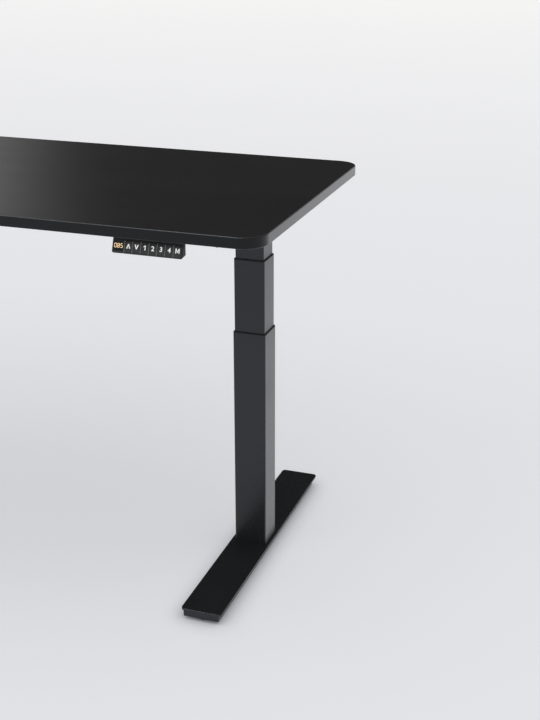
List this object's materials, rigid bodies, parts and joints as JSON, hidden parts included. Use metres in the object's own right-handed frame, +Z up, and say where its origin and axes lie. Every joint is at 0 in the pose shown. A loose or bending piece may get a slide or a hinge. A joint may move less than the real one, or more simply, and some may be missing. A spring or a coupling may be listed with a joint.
{
  "type": "standing desk",
  "caption": "Height adjustable standing desk: a round-cornered rectangular top on powered telescopic columns with long flat feet, and a tilted keypad handset under the front edge.",
  "frame": {"origin": "on the floor, under the middle of the desktop", "axes": "+X to the desk's right end as its user sees it, +Y to its back, +Z up"},
  "size_m": [1.4, 0.7, 0.85],
  "materials": {
    "desktop_laminate": "board faced and edged in matt black laminate, satin",
    "column_steel": "black powder coat, fine grain, satin",
    "foot_steel": "black powder coat, fine grain, satin",
    "frame_steel": "black powder coat, satin",
    "motor_steel": "black lacquered steel can, semi-gloss",
    "collar_plastic": "moulded black nylon, matt",
    "head_plastic": "moulded black glass-filled nylon, matt",
    "leveller_plastic": "moulded black nylon, matt",
    "box_plastic": "moulded black plastic, fine spark texture",
    "handset_plastic": "moulded black plastic, fine satin",
    "key_plastic": "black satin key caps with white printed marks",
    "gloss_plastic": "smoked black plastic, polished",
    "plain_steel": "rolled and turned steel, oiled",
    "bronze": "cast bronze, machined",
    "circuit_board": "green glass-epoxy board",
    "lead_sheath": "black PVC sheath, satin"
  },
  "bodies": {
    "left_base": {"left_foot_plate": "foot_steel", "left_foot_channel": "foot_steel", "left_outer_tube": "column_steel", "left_outer_collar": "collar_plastic", "left_base_post": "plain_steel", "left_base_nut": "bronze"},
    "left_leveller_front": {"left_leveller_front": "leveller_plastic"},
    "left_leveller_rear": {"left_leveller_rear": "leveller_plastic"},
    "left_mid": {"left_mid_tube": "column_steel", "left_mid_collar": "collar_plastic", "left_mid_carrier": "plain_steel"},
    "left_hollow_screw": {"left_hollow_screw": "plain_steel"},
    "left_drive": {"left_drive_screw": "plain_steel", "left_worm_wheel": "bronze"},
    "right_base": {"right_foot_plate": "foot_steel", "right_foot_channel": "foot_steel", "right_outer_tube": "column_steel", "right_outer_collar": "collar_plastic", "right_base_post": "plain_steel", "right_base_nut": "bronze"},
    "right_leveller_front": {"right_leveller_front": "leveller_plastic"},
    "right_leveller_rear": {"right_leveller_rear": "leveller_plastic"},
    "right_mid": {"right_mid_tube": "column_steel", "right_mid_collar": "collar_plastic", "right_mid_carrier": "plain_steel"},
    "right_hollow_screw": {"right_hollow_screw": "plain_steel"},
    "right_drive": {"right_drive_screw": "plain_steel", "right_worm_wheel": "bronze"},
    "top": {"desktop": "desktop_laminate", "front_rail": "frame_steel", "rear_rail": "frame_steel", "control_box_shell": "box_plastic", "control_box_lid": "box_plastic", "control_board": "circuit_board", "power_inlet": "gloss_plastic", "handset_case": "handset_plastic", "handset_window": "gloss_plastic", "handset_board": "circuit_board", "left_motor_lead": "lead_sheath", "right_motor_lead": "lead_sheath", "handset_lead": "lead_sheath", "left_inner_tube": "column_steel", "left_gearbox_case": "head_plastic", "left_gearbox_cover": "head_plastic", "left_motor_can": "motor_steel", "left_motor_worm": "plain_steel", "left_support_arm": "frame_steel", "right_inner_tube": "column_steel", "right_gearbox_case": "head_plastic", "right_gearbox_cover": "head_plastic", "right_motor_can": "motor_steel", "right_motor_worm": "plain_steel", "right_support_arm": "frame_steel"},
    "key_up": {"key_up": "key_plastic"},
    "key_down": {"key_down": "key_plastic"},
    "key_1": {"key_1": "key_plastic"},
    "key_2": {"key_2": "key_plastic"},
    "key_3": {"key_3": "key_plastic"},
    "key_4": {"key_4": "key_plastic"},
    "key_m": {"key_m": "key_plastic"}
  },
  "joints": [
    {"name": "left_lower", "type": "slide", "parent": "left_base", "child": "left_mid", "axis": [0, 0, 1], "range_m": [-0.155, 0.165]},
    {"name": "left_upper", "type": "slide", "parent": "left_mid", "child": "top", "axis": [0, 0, 1], "range_m": [-0.05, 0.27]},
    {"name": "right_upper", "type": "slide", "parent": "top", "child": "right_mid", "axis": [0, 0, -1], "range_m": [-0.05, 0.27]},
    {"name": "right_lower", "type": "slide", "parent": "right_mid", "child": "right_base", "axis": [0, 0, -1], "range_m": [-0.155, 0.165]},
    {"name": "left_hollow_screw_turn", "type": "hinge", "parent": "left_mid", "child": "left_hollow_screw", "pos_m": [-0.5618, 0, 0.4], "axis": [0, 0, 1], "continuous": true},
    {"name": "left_drive_turn", "type": "hinge", "parent": "top", "child": "left_drive", "pos_m": [-0.5618, 0, 0.5], "axis": [0, 0, 1], "continuous": true},
    {"name": "left_leveller_front_turn", "type": "hinge", "parent": "left_base", "child": "left_leveller_front", "pos_m": [-0.5618, -0.319, 0.01], "axis": [0, 0, 1], "continuous": true},
    {"name": "left_leveller_rear_turn", "type": "hinge", "parent": "left_base", "child": "left_leveller_rear", "pos_m": [-0.5618, 0.299, 0.01], "axis": [0, 0, 1], "continuous": true},
    {"name": "right_hollow_screw_turn", "type": "hinge", "parent": "right_mid", "child": "right_hollow_screw", "pos_m": [0.5618, 0, 0.4], "axis": [0, 0, 1], "continuous": true},
    {"name": "right_drive_turn", "type": "hinge", "parent": "top", "child": "right_drive", "pos_m": [0.5618, 0, 0.5], "axis": [0, 0, 1], "continuous": true},
    {"name": "right_leveller_front_turn", "type": "hinge", "parent": "right_base", "child": "right_leveller_front", "pos_m": [0.5618, -0.319, 0.01], "axis": [0, 0, 1], "continuous": true},
    {"name": "right_leveller_rear_turn", "type": "hinge", "parent": "right_base", "child": "right_leveller_rear", "pos_m": [0.5618, 0.299, 0.01], "axis": [0, 0, 1], "continuous": true},
    {"name": "key_up_press", "type": "slide", "parent": "top", "child": "key_up", "axis": [0, 0.9373, -0.3486], "range_m": [0, 0.0007], "stiffness_N_per_m": 1500, "springref_m": -0.0004},
    {"name": "key_down_press", "type": "slide", "parent": "top", "child": "key_down", "axis": [0, 0.9373, -0.3486], "range_m": [0, 0.0007], "stiffness_N_per_m": 1500, "springref_m": -0.0004},
    {"name": "key_1_press", "type": "slide", "parent": "top", "child": "key_1", "axis": [0, 0.9373, -0.3486], "range_m": [0, 0.0007], "stiffness_N_per_m": 1500, "springref_m": -0.0004},
    {"name": "key_2_press", "type": "slide", "parent": "top", "child": "key_2", "axis": [0, 0.9373, -0.3486], "range_m": [0, 0.0007], "stiffness_N_per_m": 1500, "springref_m": -0.0004},
    {"name": "key_3_press", "type": "slide", "parent": "top", "child": "key_3", "axis": [0, 0.9373, -0.3486], "range_m": [0, 0.0007], "stiffness_N_per_m": 1500, "springref_m": -0.0004},
    {"name": "key_4_press", "type": "slide", "parent": "top", "child": "key_4", "axis": [0, 0.9373, -0.3486], "range_m": [0, 0.0007], "stiffness_N_per_m": 1500, "springref_m": -0.0004},
    {"name": "key_m_press", "type": "slide", "parent": "top", "child": "key_m", "axis": [0, 0.9373, -0.3486], "range_m": [0, 0.0007], "stiffness_N_per_m": 1500, "springref_m": -0.0004}
  ],
  "couplings": [
    {"joint": "right_lower", "follows": "left_lower", "ratio": 1},
    {"joint": "right_upper", "follows": "left_upper", "ratio": 1},
    {"joint": "left_hollow_screw_turn", "follows": "left_lower", "rad_per_m": 523.6},
    {"joint": "left_drive_turn", "follows": "left_lower", "rad_per_m": 523.6},
    {"joint": "right_hollow_screw_turn", "follows": "left_lower", "rad_per_m": 523.6},
    {"joint": "right_drive_turn", "follows": "left_lower", "rad_per_m": 523.6}
  ]
}
